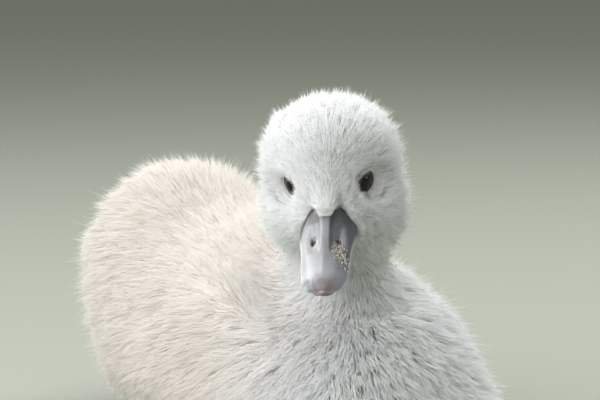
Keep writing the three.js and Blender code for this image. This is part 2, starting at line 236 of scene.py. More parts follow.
# ---------- The upper bill ----------
# Horn over bone, a broad spoon: a flat ridge from the wedge of down on the forehead to past the
# nostrils, a hollow on each side of it with the nostril in it, and a smooth dome towards the nail.
# It is a shell of rings across the bill, from under the down to the tip.
BILL_BASE = 7  # millimetres ahead of the point between the eyes
BILL_TIP = 41.5
RIDGE_HALF_WIDTH = 1.45
RIDGE_END = 25
HOLLOW_DEPTH = 0.95
NOSTRIL_AT = (20.8, 4.2)  # ahead, and out from the middle


def outline(pairs):
    """A smooth curve through pairs of a place and the value there."""
    places, values = np.array(pairs, float).T
    slopes = np.gradient(values, places)

    def value_at(place):
        place = np.clip(place, places[0], places[-1])
        i = np.clip(np.searchsorted(places, place) - 1, 0, len(places) - 2)
        step = places[i + 1] - places[i]
        t = (place - places[i]) / step
        rising = t * t * (3 - 2 * t)
        return (
            values[i] * (1 - rising)
            + values[i + 1] * rising
            + step * (slopes[i] * t * (1 - t) ** 2 - slopes[i + 1] * t * t * (1 - t))
        )

    return value_at


culmen = outline(
    [(BILL_BASE, 0.5), (12, -1.2), (17, -3.6), (24, -6.4), (32, -8.6), (38, -9.8), (BILL_TIP, -12.4)]
)
tomium = outline(
    [(BILL_BASE, -10.6), (12.7, -10.7), (24, -10.8), (32, -12.4), (38, -13.2), (BILL_TIP, -13)]
)
half_width = outline(
    [(BILL_BASE, 9), (12.7, 9.7), (24, 8.3), (32, 7.9), (37, 6.9), (40.4, 3.8), (BILL_TIP, 0.9)]
)
# Where the down ends on the horn: distance ahead by the share of the way from the ridge to the edge.
feather_line = outline(
    [(0, 15.9), (0.12, 15.3), (0.25, 12.2), (0.36, 9.5), (0.52, 9.1), (0.7, 10.2), (0.85, 11.5), (1, 12.7)]
)


def smooth_step(low, high, values):
    share = np.clip((values - low) / (high - low), 0, 1)
    return share * share * (3 - 2 * share)


def mound(values, middle, reach):
    """One at the middle, falling to nothing about two reaches away."""
    return np.exp(-(((values - middle) / reach) ** 2))


def horn_height(ahead, out):
    """Height of the horn's upper surface in the head's frame."""
    share = np.clip(np.abs(out) / half_width(ahead), 0, 1)
    rise = (1 - share**1.8) ** 0.72
    beside = np.abs(out)
    length_share = smooth_step(11, 15, ahead) * (1 - smooth_step(RIDGE_END - 5, RIDGE_END + 3, ahead))
    hollow = smooth_step(RIDGE_HALF_WIDTH, RIDGE_HALF_WIDTH + 1.0, beside)
    hollow = hollow * (1 - smooth_step(4.4, 8.4, beside))
    ridge = (1 - smooth_step(RIDGE_HALF_WIDTH - 0.3, RIDGE_HALF_WIDTH + 0.5, beside)) * 0.2
    fossa = mound(ahead, NOSTRIL_AT[0] - 0.3, 4.2) * mound(beside, NOSTRIL_AT[1], 1.7) * 0.55
    nostril = mound(ahead, NOSTRIL_AT[0], 1.05) * mound(beside, NOSTRIL_AT[1], 0.62) * 1.5
    lip = mound(ahead, NOSTRIL_AT[0], 1.9) * mound(beside, NOSTRIL_AT[1], 1.25) * 0.3
    dome = mound(ahead, 32, 4.5) * mound(beside, 0, 4.5) * 0.4
    detail = length_share * (ridge - hollow * HOLLOW_DEPTH) - fossa - nostril + lip + dome
    near_edge = smooth_step(1, 0.8, share)
    return tomium(ahead) + (culmen(ahead) - tomium(ahead)) * rise + detail * near_edge


def ring_faces(count, sides):
    """Faces between rings of points, and fans at both ends to two points that follow the rings."""
    k = np.arange(sides)
    after = (k + 1) % sides
    faces = []
    for low in range(0, (count - 1) * sides, sides):
        high = low + sides
        faces += np.stack([low + k, low + after, high + after, high + k], axis=1).tolist()
    faces += np.stack([after, k, np.full(sides, count * sides)], axis=1).tolist()
    last = (count - 1) * sides
    faces += np.stack([last + k, last + after, np.full(sides, count * sides + 1)], axis=1).tolist()
    return faces


def smooth_mesh(name, points, faces):
    made = bpy.data.meshes.new(name)
    made.from_pydata(points.tolist(), [], faces)
    made.polygons.foreach_set("use_smooth", np.ones(len(faces), bool))
    return made


def face_outwards(made):
    turned = bmesh.new()
    turned.from_mesh(made)
    bmesh.ops.recalc_face_normals(turned, faces=turned.faces)
    turned.to_mesh(made)
    turned.free()


def shell_mesh(name, rings):
    """A closed mesh through rings of points given in the head's frame, its ends closed by fans."""
    rings = np.asarray(rings, float)
    points = np.concatenate([rings.reshape(-1, 3), rings[0].mean(0)[None], rings[-1].mean(0)[None]])
    made = smooth_mesh(name, from_head(points), ring_faces(*rings.shape[:2]))
    face_outwards(made)
    return made


def paint(painted, label, values):
    """A tint for each point of a mesh, that its material reads."""
    painted.attributes.new(label, "FLOAT", "POINT").data.foreach_set("value", np.asarray(values, float))


def points_of(source):
    values = np.empty(len(source.vertices) * 3)
    source.vertices.foreach_get("co", values)
    return values.reshape(-1, 3)


BILL_RINGS = 120
ARCH_STEPS = 96
PALATE_STEPS = 12
stations = BILL_BASE + (BILL_TIP - BILL_BASE) * np.sin(np.linspace(0, math.pi / 2, BILL_RINGS))
arch_angles = np.linspace(0, math.pi, ARCH_STEPS + 1)
rings = []
for ahead in stations:
    across = np.cos(arch_angles)
    out = across * half_width(ahead)
    edge_roll = smooth_step(0.965, 1, np.abs(across)) * 0.22 * smooth_step(12, 16, ahead)
    arch = np.stack(
        [out + np.sign(across) * edge_roll, np.full(len(out), -ahead), horn_height(ahead, out)], axis=1
    )
    arch[[0, -1], 2] = tomium(ahead)
    inner = np.linspace(-0.94, 0.94, PALATE_STEPS)
    palate_rise = (1 - np.abs(inner) ** 2) * 0.5 * smooth_step(BILL_TIP, 36, ahead)
    palate = np.stack(
        [inner * half_width(ahead), np.full(PALATE_STEPS, -ahead), tomium(ahead) + 0.1 + palate_rise], axis=1
    )
    rings.append(np.concatenate([arch, palate]))
upper_mesh = shell_mesh("bill_upper_horn", rings)
in_bill = to_head(points_of(upper_mesh))
ahead, out = -in_bill[:, 1], in_bill[:, 0]
side_share = np.clip(np.abs(out) / half_width(ahead), 0, 1)
past_line = ahead - feather_line(side_share)
paint(upper_mesh, "ridge", (1 - smooth_step(1.2, 1.9, np.abs(out))) * (1 - smooth_step(18, 26, ahead)))
paint(upper_mesh, "by_down", 1 - smooth_step(0.2, 6.5, past_line))
# Painted shade: the nostrils are only shallow pits, so the dark inside their openings is painted on them.
nostril_gap = np.hypot((ahead - NOSTRIL_AT[0]) / 1.25, (np.abs(out) - NOSTRIL_AT[1]) / 0.8)
paint(upper_mesh, "nostril", 1 - smooth_step(0.55, 1.15, nostril_gap))
fossa_gap = np.hypot((ahead - NOSTRIL_AT[0] + 0.5) / 5.5, (np.abs(out) - NOSTRIL_AT[1]) / 2.3)
paint(upper_mesh, "fossa", 1 - smooth_step(0.4, 1.2, fossa_gap))
paint(upper_mesh, "rim", smooth_step(0.95, 1, side_share) * smooth_step(14, 18, ahead))
paint(upper_mesh, "front", smooth_step(26, 36, ahead))


def attribute(tree, name):
    return node(tree, "ShaderNodeAttribute", {"attribute_name": name}).outputs["Fac"]


def span(tree, value, settings=(), **ends):
    """A value's range spread or squeezed over another."""
    return node(tree, "ShaderNodeMapRange", settings, Value=value, **ends).outputs[0]


def mix(tree, share, low, high):
    """One colour going over to another."""
    low = linear(low) if isinstance(low, str) else low
    high = linear(high) if isinstance(high, str) else high
    return node(tree, "ShaderNodeMix", {"data_type": "RGBA"}, _0=share, _6=low, _7=high).outputs[2]


def product(tree, one, other):
    return node(tree, "ShaderNodeMath", {"operation": "MULTIPLY"}, _0=one, _1=other).outputs[0]


HORN_SCATTER = (0.002, 0.0014, 0.001)  # how far light runs in horn, in metres of red, green and blue


def horn_material(name, colour, dark, ridge, pale):
    """Keratin: smooth and faintly wet, cloudy under the surface, with fine grain along the bill."""
    material, tree = new_material(name)
    clouds = span(tree, noise(tree, 420.0, 4.0), From_Min=0.35, From_Max=0.65)
    mottle = noise(tree, 1500.0, 3.0)
    mottle_share = span(tree, mottle, From_Min=0.4, From_Max=0.7)
    base = mix(tree, product(tree, clouds, 0.35), colour, dark)
    base = mix(tree, attribute(tree, "front"), base, pale)
    base = mix(tree, attribute(tree, "by_down"), base, dark)
    base = mix(tree, product(tree, attribute(tree, "fossa"), mottle_share), base, "#5d5d62")
    base = mix(tree, attribute(tree, "ridge"), base, ridge)
    base = mix(tree, attribute(tree, "rim"), base, "#8f8d95")
    # painted shade in the nostrils' openings
    base = mix(tree, attribute(tree, "nostril"), base, "#3a1710")
    principled(
        tree,
        Base_Color=base,
        Roughness=span(tree, mottle, To_Min=0.24, To_Max=0.42),
        IOR=1.6,
        Coat_Weight=0.5,
        Coat_Roughness=0.22,
        Coat_IOR=1.6,
        Subsurface_Weight=0.08,
        Subsurface_Radius=HORN_SCATTER,
        Subsurface_Scale=0.5,
        Normal=bump(tree, mottle, 0.35, 0.00012),
    )
    return material


bill_horn = horn_material("bill keratin", "#505157", "#29292c", "#6c6b75", "#707079")
bill_upper = new_object("bill_upper_horn", upper_mesh, bill_horn)
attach(bill_upper, "root")
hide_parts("bill_upper")

# ---------- The nail ----------
# A harder, smoother shield of horn on the tip, which ends in a blunt hook. It lies on the upper bill, its
# edge let in by a fraction of a millimetre.
NAIL_START = 32.4
NAIL_TIP = 41.9
NAIL_HALF_WIDTH = 4.7
NAIL_LIFT = 0.2
NAIL_RINGS = 34
NAIL_STEPS = 26
rings = []
for share in np.linspace(0.012, 0.988, NAIL_RINGS):
    ahead = NAIL_START + (NAIL_TIP - NAIL_START) * (1 - math.cos(share * math.pi)) / 2
    length_share = (ahead - NAIL_START) / (NAIL_TIP - NAIL_START)
    width = NAIL_HALF_WIDTH * (1 - abs(2 * length_share - 1) ** 2.4) ** 0.5
    horn_ahead = min(ahead, 41.0)
    width = min(width, half_width(horn_ahead) + 0.1)
    across = np.linspace(-1, 1, NAIL_STEPS)
    top = culmen(horn_ahead) + NAIL_LIFT * min(1, 4 * share) - 1.4 * smooth_step(40.3, 42.4, ahead)
    edge = horn_height(horn_ahead, width * 0.98) - 0.25
    height = top - (top - edge) * np.abs(across) ** 2.3
    upper = np.stack([across * width, np.full(NAIL_STEPS, -ahead), height], axis=1)
    lower = upper[::-1][1:-1] - (0, 0, 0.9 * math.sin(share * math.pi) ** 0.5)
    rings.append(np.concatenate([upper, lower]))
nail_mesh = shell_mesh("bill_nail_horn", rings)
in_bill = to_head(points_of(nail_mesh))
paint(nail_mesh, "front", smooth_step(36.5, 41.6, -in_bill[:, 1]))

material, tree = new_material("nail keratin")
growth = noise(tree, 700.0, 3.0)
tone = mix(tree, attribute(tree, "front"), "#7e7c84", "#73584b")
principled(
    tree,
    Base_Color=mix(tree, span(tree, growth, To_Max=0.5), tone, "#6d6970"),
    Roughness=0.3,
    IOR=1.54,
    Subsurface_Weight=0.1,
    Subsurface_Radius=HORN_SCATTER,
    Subsurface_Scale=0.5,
    Normal=bump(tree, growth, 0.2, 0.0001),
)
bill_nail = new_object("bill_nail_horn", nail_mesh, material)
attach(bill_nail, "root")
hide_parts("bill_nail")

# ---------- The lower bill ----------
# A shallow dish of the same horn that closes up under the upper bill, narrower by a lip all round.
LOWER_LIP = 1.3
LOWER_DEPTH = 3.2
LOWER_START = BILL_BASE + 1
LOWER_END = BILL_TIP - 3.5
LOWER_RINGS = 48
LOWER_STEPS = 28
rings = []
for ahead in LOWER_START + (LOWER_END - LOWER_START) * np.sin(np.linspace(0, math.pi / 2, LOWER_RINGS)):
    width = half_width(ahead + 2.4) - LOWER_LIP
    across = np.linspace(-1, 1, LOWER_STEPS)
    drop = (1 - np.abs(across) ** 3.4) * (LOWER_DEPTH - 0.7) + 0.7
    groove = mound(across, 0, 0.13) * 0.5 * (1 - smooth_step(28, 36, ahead))
    top = tomium(ahead) - 0.25
    keel = np.stack([across * width, np.full(LOWER_STEPS, -ahead), top - drop + groove], axis=1)
    lid = np.stack([across[::-1] * width, np.full(LOWER_STEPS, -ahead), np.full(LOWER_STEPS, top)], axis=1)
    rings.append(np.concatenate([keel, lid]))
lower_mesh = shell_mesh("bill_lower_horn", rings)
in_bill = to_head(points_of(lower_mesh))
paint(lower_mesh, "by_down", 1 - smooth_step(13, 22, -in_bill[:, 1]))
paint(lower_mesh, "front", smooth_step(26, 36, -in_bill[:, 1]))
bill_lower = new_object("bill_lower_horn", lower_mesh, bill_horn)
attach(bill_lower, "root")
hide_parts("bill_lower")

# ---------- The skin of body, neck, head and wings ----------
# One hide without a seam over all the flesh. It is the solids' own outline, which reaches to the tips of
# the down, drawn in by the depth of the down: deep on the body, thin on the face, next to none below.
FLESH = ("trunk", "tail", "neck", "head", "wing_left", "wing_right")
HIDE_CELL = 1.3 * MM
BODY_DEPTH = 8.5  # millimetres of down
WING_DEPTH = 7
TAIL_DEPTH = 3.4
NECK_DEPTH = 5.5
HEAD_DEPTH = 4.4
EYE_SKIN_DEPTH = 3.3
BILL_SKIN_DEPTH = 1.6
BELLY_DEPTH = 1.6
SKIRT_DEPTH = 4.5  # where the flank meets the floor
CHEEK_DEPTH = 3.2
CHEEK = (19, -3, -10)  # the left one, in the head's frame
VOXEL_SMOOTHING = 16  # rounds
CHEEK_SMOOTHING = 90


def solid_points(*names):
    """The merged mesh of some CAD nodes."""
    merged = bmesh.new()
    for name in names:
        merged.from_mesh(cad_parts[name].data)
    bmesh.ops.remove_doubles(merged, verts=merged.verts, dist=0.002 * MM)
    merged.normal_update()
    return merged


def ball_in(mesh, frame_matrix, centre, halves, detail=3):
    place = frame_matrix @ Matrix.Translation(centre) @ Matrix.Diagonal((*halves, 1))
    bmesh.ops.create_icosphere(mesh, subdivisions=detail, radius=1, matrix=place)


whole = solid_points(*FLESH)
OVERLAP = 0.4 * MM  # closes the thin gaps between the solids
for corner in whole.verts:
    corner.co += corner.normal * OVERLAP
ball_in(whole, head_frame, (0, 9.6, 0), (18, 18, 18))  # fills the sockets
ball_in(whole, head_frame, (0, -2, -4), (10.5, 15.4, 9))  # fills the seat of the bill
for _, side in SIDES:  # fill the hollows over the shanks
    ball_in(whole, Matrix.Scale(MM, 4), (side * 30, 20, 12), (9, 26, 9))
mesh = bpy.data.meshes.new("hide")
whole.to_mesh(mesh)
whole.free()
hide = new_object("hide", mesh)
remesh = hide.modifiers.new("remesh", "REMESH")
remesh.mode = "VOXEL"
remesh.voxel_size = HIDE_CELL
remesh.adaptivity = 0
evaluated = hide.evaluated_get(bpy.context.evaluated_depsgraph_get())
hide_mesh = bpy.data.meshes.new_from_object(evaluated)
bpy.data.objects.remove(hide)


hide_quads = [tuple(face.vertices) for face in hide_mesh.polygons]
triangles = [(q[0], q[1], q[2]) for q in hide_quads]
triangles += [(q[0], q[2], q[3]) for q in hide_quads if len(q) > 3]
hide_faces = np.array(triangles)
hide_edges = np.empty(len(hide_mesh.edges) * 2, np.int32)
hide_mesh.edges.foreach_get("vertices", hide_edges)
hide_edges = hide_edges.reshape(-1, 2)
hide_points = points_of(hide_mesh)


def spread(values, times, share=0.5):
    """Each point's value moves part of the way to the mean of its neighbours', again and again."""
    values = np.array(values, float)
    flat = values.reshape(len(values), -1)
    counts = np.bincount(hide_edges.ravel(), minlength=len(values))[:, None]
    for _ in range(times):
        total = np.zeros_like(flat)
        for column in range(flat.shape[1]):
            total[:, column] = np.bincount(
                hide_edges[:, 0], flat[hide_edges[:, 1], column], len(values)
            ) + np.bincount(hide_edges[:, 1], flat[hide_edges[:, 0], column], len(values))
        flat += share * (total / counts - flat)
    return flat.reshape(values.shape)


def normals_of(points, faces):
    a, b, c = (points[faces[:, k]] for k in range(3))
    across = np.cross(b - a, c - a)
    total = np.zeros_like(points)
    for k in range(3):
        for axis in range(3):
            total[:, axis] += np.bincount(faces[:, k], across[:, axis], len(points))
    return total / np.maximum(np.linalg.norm(total, axis=1, keepdims=True), 1e-12)


def distance_to(points, *names):
    """Millimetres from each point to the nearest of some CAD nodes."""
    solid = solid_points(*names)
    tree_of = BVHTree.FromBMesh(solid)
    solid.free()
    return np.array([tree_of.find_nearest(p)[3] for p in points]) / MM


def gap_to(x, y, z):
    """Millimetres from each point to the nearer of a place in the head's frame and its mirror image."""
    return np.min([np.linalg.norm(in_head - (side * x, y, z), axis=1) for _, side in SIDES], axis=0)


hide_points = spread(hide_points, VOXEL_SMOOTHING)
# The rims of the eyes' sockets are smoothed away where the cheeks begin.
in_head = to_head(hide_points)
eye_gap = gap_to(EYE_SPREAD / 2, 0, 0)
by_cheek = (1 - smooth_step(6.5, 12, gap_to(*CHEEK))) * smooth_step(4.2, 6.5, eye_gap)
hide_points += by_cheek[:, None] * (spread(hide_points, CHEEK_SMOOTHING) - hide_points)
hide_normals = normals_of(hide_points, hide_faces)
on_head = 1 - smooth_step(0.6, 7, distance_to(hide_points, "head"))
on_neck = (1 - smooth_step(0.6, 7, distance_to(hide_points, "neck"))) * (1 - on_head)
on_wing = 1 - smooth_step(0.6, 5, distance_to(hide_points, "wing_left", "wing_right"))
on_tail = 1 - smooth_step(0.6, 6, distance_to(hide_points, "tail"))
on_bill = 1 - smooth_step(0.8, 9, distance_to(hide_points, "bill_upper", "bill_lower"))
nape = on_head * smooth_step(0, 15, in_head[:, 1])
on_eye = 1 - smooth_step(5.0, 9.5, eye_gap)
under = smooth_step(0.55, 0.95, -hide_normals[:, 2]) * (1 - smooth_step(6 * MM, 22 * MM, hide_points[:, 2]))
skirt = 1 - smooth_step(7 * MM, 26 * MM, hide_points[:, 2])


def towards(depth, weight, goal):
    return depth + weight * (goal - depth)


hide_depth = np.full(len(hide_points), float(BODY_DEPTH))
for weight, goal in (
    (on_wing, WING_DEPTH),
    (on_tail, TAIL_DEPTH),
    (on_neck, NECK_DEPTH),
    (on_head, HEAD_DEPTH),
    (on_eye, EYE_SKIN_DEPTH),
    (on_bill, BILL_SKIN_DEPTH),
    (by_cheek * 0.7, CHEEK_DEPTH),
    (skirt, SKIRT_DEPTH),
    (under, BELLY_DEPTH),
):
    hide_depth = towards(hide_depth, weight, goal)
hide_depth = spread(hide_depth, 3)
INSET_STEPS = 4
for _ in range(INSET_STEPS):
    hide_points = hide_points - hide_normals * (hide_depth / INSET_STEPS * MM)[:, None]
    hide_points = spread(hide_points, 2)
    hide_normals = normals_of(hide_points, hide_faces)
hide_points[:, 2] = np.maximum(hide_points[:, 2], BELLY_DEPTH * MM)

# Round the bill the skin dips under the horn, ahead of the line where the down ends.
SKIN_UNDER_HORN = 0.6
FACE_SLOPE = 1.3
in_head = to_head(hide_points)
ahead, out = -in_head[:, 1], in_head[:, 0]
share = np.abs(out) / half_width(ahead)
behind_line = np.clip(feather_line(np.clip(share, 0, 1)) - ahead, 0, None)
ceiling = horn_height(ahead, out) - SKIN_UNDER_HORN + FACE_SLOPE * behind_line
by_bill = (share < 1) & (ahead > BILL_BASE) & (in_head[:, 2] > tomium(ahead) - 1) & (in_head[:, 2] > ceiling)
in_head[by_bill, 2] = ceiling[by_bill]
hide_points[by_bill] = from_head(in_head[by_bill])
hide_normals = normals_of(hide_points, hide_faces)

# ---------- The eyelids ----------
# Two thin folds of bare grey skin hug each ball. Their edge is an almond, pointed at the corner towards
# the bill, with a low rim; outwards they run under the skin of the face. They join the skin.
CORNER_TURN = math.radians(-46)  # the pointed corner looks ahead and down
OPENING_LENGTH = 3.85  # half, in millimetres
OPENING_HEIGHT = 3.2
CORNER_REACH = 1.35  # how far the point goes beyond the oval
CORNER_WIDTH = math.radians(19)
LID_STEPS = 72
# Rings from the edge outwards: degrees past the edge, and distance from the ball's middle.
LID_RINGS = ((-2.5, 5.8), (-1, 6.08), (0.5, 6.36), (3, 6.52), (6, 6.5), (10, 6.36), (16, 6.25), (26, 6.0))
LID_RINGS += ((38, 5.5),)
LID_RIM_RINGS = 4  # the rings of the darker rim, from the edge


def eye_frame(side):
    """Ball's middle, the way it looks, the way along the face to the bill, and the way up."""
    looks = np.array((side * math.sin(EYE_TURN), -math.cos(EYE_TURN), 0))
    middle = np.array((side * EYE_SPREAD / 2, 0, 0)) - looks * EYE_DEPTH
    to_bill = np.array((-side * math.cos(EYE_TURN), -math.sin(EYE_TURN), 0))
    return middle, looks, to_bill, np.array((0, 0, 1.0))


def opening_at(turn):
    """Distance from the eye's axis to the lids' edge, for a turn round the axis from the corner."""
    oval = 1 / np.hypot(np.cos(turn) / OPENING_LENGTH, np.sin(turn) / OPENING_HEIGHT)
    turned = (turn + math.pi) % (2 * math.pi) - math.pi
    return oval + CORNER_REACH * np.exp(-np.abs(turned / CORNER_WIDTH) ** 1.4)


def lid_part(side):
    middle, looks, to_bill, upwards = eye_frame(side)
    turns = np.arange(LID_STEPS) * 2 * math.pi / LID_STEPS
    way = np.cos(turns + CORNER_TURN)[:, None] * to_bill + np.sin(turns + CORNER_TURN)[:, None] * upwards
    edge = np.degrees(np.arcsin(opening_at(turns) / EYEBALL_RADIUS))
    points = []
    for past, distance in LID_RINGS:
        tilt = np.radians(edge + past)[:, None]
        points.append(middle + (looks * np.cos(tilt) + way * np.sin(tilt)) * distance)
    k = np.arange(LID_STEPS)
    after = (k + 1) % LID_STEPS
    faces = []
    for ring in range(len(LID_RINGS) - 1):
        low, high = ring * LID_STEPS, (ring + 1) * LID_STEPS
        quads = np.stack([low + k, high + k, high + after, low + after], axis=1)
        faces += (quads if side > 0 else quads[:, ::-1]).tolist()
    rim = np.repeat(np.arange(len(LID_RINGS)) < LID_RIM_RINGS, LID_STEPS).astype(float)
    return from_head(np.concatenate(points)), faces, rim


lid_parts = [lid_part(side) for _, side in SIDES]

# ---------- Legs and feet ----------
# The shank lies along the floor from the heel to the root of the toes: bare leathery skin over bone, with
# a row of horny scutes on top. Three toes ahead carry the web, a thin fold of skin with the toes' rays in
# it, and a short one points back. They join the skin, and the heel runs up under the down of the flank.
HEEL = (31, 35, 4.4)  # millimetres, of the left leg; the right one mirrors it
TOE_ROOT = (35, -2, 3.2)
SHANK_RADIUS = 3.0
SCUTE_STEP = 1.9
WEB_THICKNESS = 0.9
CLAW_LENGTH = 4
# Each toe: degrees out from straight ahead, length and radius.
TOES = {"inner": (-15, 31, 2.1), "middle": (7, 38, 2.3), "outer": (27, 35, 2.1), "hind": (205, 8, 1.4)}
WEBBED = ("inner", "middle", "outer")
LIMB_SIDES = 20
FLOOR_GAP = 0.1 * MM


def mirrored(place, side):
    return np.array((side * place[0], place[1], place[2]))


def unit(vectors):
    return vectors / np.maximum(np.linalg.norm(vectors, axis=-1, keepdims=True), 1e-9)


def toe_line(side, name, shares):
    """Points along the middle of a toe, for shares of its length."""
    turn, length, radius = TOES[name]
    way = np.array((side * math.sin(math.radians(turn)), -math.cos(math.radians(turn)), 0))
    start = np.array((side * TOE_ROOT[0], TOE_ROOT[1], radius))
    end = start + way * length
    end[2] = 1.1
    shares = np.asarray(shares)[:, None]
    return start * (1 - shares) + end * shares


def toe_radius(name, shares):
    radius = TOES[name][2]
    knuckles = 1 + 0.09 * np.cos(np.asarray(shares) * 6 * math.pi)
    return radius * (1 - 0.48 * np.asarray(shares)) * knuckles


def limb(centres, radii, wrinkle=0.0, close=0.35):
    """A round limb through centres, in millimetres: its points and faces, its ends drawn in and closed."""
    count = len(centres)
    along = unit(np.gradient(centres, axis=0))
    across = unit(np.cross(along, (0, 0, 1.0)))
    over = np.cross(across, along)
    turns = (np.arange(LIMB_SIDES) + 0.5) * 2 * math.pi / LIMB_SIDES
    travelled = np.cumsum(np.linalg.norm(np.diff(centres, axis=0, prepend=centres[:1]), axis=1))
    creases = 1 - wrinkle * np.abs(np.cos(travelled * math.pi / SCUTE_STEP)) ** 6
    end_share = close * 0.2
    into_end = np.clip(np.abs(np.linspace(0, 1, count) - 0.5) * 2 - (1 - end_share), 0, 1)
    rounding = np.sqrt(np.clip(1 - into_end**2 / end_share**2, 0.02, 1))
    size = (radii * creases * rounding)[:, None, None]
    points = centres[:, None] + size * (
        np.cos(turns)[None, :, None] * across[:, None] + np.sin(turns)[None, :, None] * over[:, None]
    )
    points[..., 2] = np.maximum(points[..., 2], FLOOR_GAP / MM)
    flat = np.concatenate([points.reshape(-1, 3), [points[0].mean(0), points[-1].mean(0)]])
    return flat * MM, ring_faces(count, LIMB_SIDES)


WEB_ALONG, WEB_ACROSS = 34, 14


def web_part(side, first, second):
    """The web between two toes: a closed thin sheet, slack between them, its edge drawn in."""
    layers = []
    for level in (1, 0):
        rows = []
        for v in np.linspace(0.04, 1, WEB_ALONG):
            row = []
            for u in np.linspace(0, 1, WEB_ACROSS):
                bay = 1 - 0.17 * math.sin(u * math.pi) ** 0.8
                one = toe_line(side, first, [v * 0.95 * bay])[0]
                two = toe_line(side, second, [v * 0.95 * bay])[0]
                point = one * (1 - u) + two * u
                slack = math.sin(u * math.pi)
                wave = 0.16 * slack * math.sin(u * 9 + v * 5) * v
                thick = WEB_THICKNESS * (1 - 0.45 * slack) * (1 - 0.5 * v**6)
                middle = 0.85 + 0.5 * (1 - slack) * (1 - v) + wave
                point[2] = max(middle + (thick / 2 if level else -thick / 2), FLOOR_GAP / MM)
                row.append(point)
            rows.append(row)
        layers.append(np.array(rows))
    points = np.concatenate([layer.reshape(-1, 3) for layer in layers])

    def at(level, i, j):
        return (level * WEB_ALONG + i) * WEB_ACROSS + j

    faces = []
    for i in range(WEB_ALONG - 1):
        for j in range(WEB_ACROSS - 1):
            top = [at(0, i, j), at(0, i + 1, j), at(0, i + 1, j + 1), at(0, i, j + 1)]
            faces += [top, [at(1, i, j + 1), at(1, i + 1, j + 1), at(1, i + 1, j), at(1, i, j)]]
    edge = [(i, 0) for i in range(WEB_ALONG)] + [(WEB_ALONG - 1, j) for j in range(1, WEB_ACROSS)]
    edge += [(i, WEB_ACROSS - 1) for i in range(WEB_ALONG - 2, -1, -1)]
    edge += [(0, j) for j in range(WEB_ACROSS - 2, 0, -1)]
    for (a, b), (c, d) in zip(edge, edge[1:] + edge[:1]):
        faces.append([at(0, c, d), at(0, a, b), at(1, a, b), at(1, c, d)])
    return points * MM, faces


def leg_parts(side):
    heel, root = mirrored(HEEL, side), mirrored(TOE_ROOT, side)
    knee = mirrored((HEEL[0] - 3, HEEL[1] - 12, HEEL[2] + 13), side)
    shares = np.linspace(0, 1, 60)
    parts = []
    shank = heel + (root - heel) * shares[:, None]
    shank_size = SHANK_RADIUS * (1 + 0.36 * np.exp(-((shares / 0.1) ** 2)) + 0.12 * mound(shares, 1, 0.1))
    parts.append(limb(shank, shank_size, 0.03))
    thigh = heel + (knee - heel) * np.linspace(-0.12, 1, 24)[:, None]
    parts.append(limb(thigh, SHANK_RADIUS * np.linspace(1.15, 1.7, 24)))
    for name in TOES:
        along = np.linspace(-0.02, 1.03, 64)
        parts.append(limb(toe_line(side, name, along), toe_radius(name, along), 0.05, 0.5))
    for first, second in zip(WEBBED, WEBBED[1:]):
        parts.append(web_part(side, first, second))
    return parts


leg_skin, tree = new_material("scaly leg skin")
place = node(tree, "ShaderNodeTexCoord").outputs["Object"]
cells = node(tree, "ShaderNodeTexVoronoi", {"feature": "DISTANCE_TO_EDGE"}, Vector=place, Scale=1500.0)
creases = span(tree, cells.outputs[0], From_Max=0.12)
tone = mix(tree, noise(tree, 260.0, 3.0), "#4b4d53", "#73757b")
principled(
    tree,
    Base_Color=mix(tree, creases, "#38393d", tone),
    Roughness=0.5,
    IOR=1.5,
    Normal=bump(tree, creases, 0.5, 0.0002),
)


def scattered(name, places, turns, sizes, material, detail=2):
    """Small rounded plates set on points, by Geometry Nodes: each with its own turn and half sizes."""
    points_mesh = bpy.data.meshes.new(name)
    points_mesh.from_pydata(np.asarray(places).tolist(), [], [])
    for label, values in (("turn", turns), ("size", sizes)):
        held = points_mesh.attributes.new(label, "FLOAT_VECTOR", "POINT")
        held.data.foreach_set("vector", np.asarray(values, float).ravel())
    group = bpy.data.node_groups.new(name, "GeometryNodeTree")
    group.interface.new_socket("Points", in_out="INPUT", socket_type="NodeSocketGeometry")
    group.interface.new_socket("Plates", in_out="OUTPUT", socket_type="NodeSocketGeometry")
    given = group.nodes.new("NodeGroupInput")
    plate = node(group, "GeometryNodeMeshIcoSphere", Radius=1.0, Subdivisions=detail)
    turn = node(group, "GeometryNodeInputNamedAttribute", {"data_type": "FLOAT_VECTOR"}, Name="turn")
    size = node(group, "GeometryNodeInputNamedAttribute", {"data_type": "FLOAT_VECTOR"}, Name="size")
    set_on = node(
        group,
        "GeometryNodeInstanceOnPoints",
        Points=given.outputs[0],
        Instance=plate.outputs[0],
        Rotation=turn.outputs[0],
        Scale=size.outputs[0],
    )
    realized = node(group, "GeometryNodeRealizeInstances", Geometry=set_on.outputs[0])
    finished = node(group, "GeometryNodeSetMaterial", Geometry=realized.outputs[0], Material=material)
    result = group.nodes.new("NodeGroupOutput")
    group.links.new(finished.outputs[0], result.inputs[0])
    carrier = new_object(name, points_mesh)
    modifier = carrier.modifiers.new(name, "NODES")
    modifier.node_group = group
    made = bpy.data.meshes.new_from_object(carrier.evaluated_get(bpy.context.evaluated_depsgraph_get()))
    bpy.data.objects.remove(carrier)
    return points_of(made), [list(face.vertices) for face in made.polygons]


